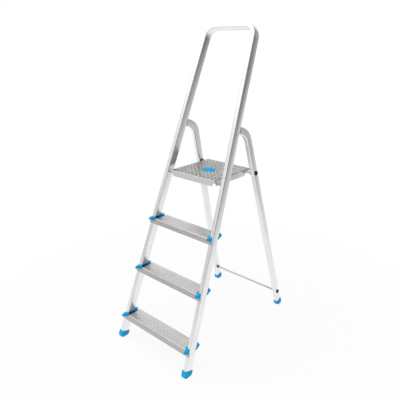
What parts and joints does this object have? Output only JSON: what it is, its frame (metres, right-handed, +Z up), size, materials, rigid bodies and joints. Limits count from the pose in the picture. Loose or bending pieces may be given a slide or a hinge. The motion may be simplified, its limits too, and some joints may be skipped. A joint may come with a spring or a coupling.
{
  "type": "platform step ladder",
  "caption": "Folding platform step ladder: leaning hoop frame with ribbed treads in moulded collars, hinged platform and bent rear legs joined by a rest bar and a stretcher.",
  "frame": {"origin": "on the floor, at the middle of the open ladder's box", "axes": "+X across to the climber's right, +Y from the climbing side to the rear, +Z up"},
  "size_m": [0.451, 0.7804, 1.4332],
  "materials": {
    "frame_aluminium": "satin",
    "tread_aluminium": "satin",
    "platform_aluminium": "satin",
    "badge_blue": "gloss",
    "blue_plastic": "matte",
    "black_plastic": "matte",
    "grey_plastic": "matte",
    "bright_steel": "bright"
  },
  "bodies": {
    "front_frame": {"front_hoop": "frame_aluminium", "tread_1": "tread_aluminium", "tread_2": "tread_aluminium", "tread_3": "tread_aluminium", "step_clip_left_1": "blue_plastic", "step_clip_left_2": "blue_plastic", "step_clip_left_3": "blue_plastic", "step_clip_right_1": "blue_plastic", "step_clip_right_2": "blue_plastic", "step_clip_right_3": "blue_plastic", "tread_rivets": "bright_steel", "front_foot_left": "blue_plastic", "front_foot_right": "blue_plastic", "hinge_bar": "bright_steel", "hinge_sleeves": "grey_plastic", "pivot_pin_left": "bright_steel", "pivot_pin_right": "bright_steel", "pivot_spacers": "grey_plastic"},
    "rear_frame": {"rear_leg_left": "frame_aluminium", "rear_leg_right": "frame_aluminium", "hinge_tongue_left": "grey_plastic", "hinge_tongue_right": "grey_plastic", "rear_foot_left": "blue_plastic", "rear_foot_right": "blue_plastic", "rest_bar": "bright_steel", "rest_bar_caps": "black_plastic", "rest_bar_bushes": "black_plastic", "lower_stretcher": "bright_steel", "stretcher_caps": "black_plastic", "stretcher_bushes": "black_plastic"},
    "platform": {"platform_tray": "platform_aluminium", "platform_badge": "badge_blue"}
  },
  "joints": [
    {"name": "rear_fold", "type": "hinge", "parent": "front_frame", "child": "rear_frame", "pos_m": [0, 0.00778, 0.98666], "axis": [-1, 0, 0], "range_deg": [0, 36.81]},
    {"name": "platform_lift", "type": "hinge", "parent": "front_frame", "child": "platform", "pos_m": [0, -0.07613, 0.7904], "axis": [1, 0, 0], "range_deg": [0, 69]}
  ],
  "couplings": [
    {"joint": "platform_lift", "follows": "rear_fold", "ratio": 1.8746}
  ]
}
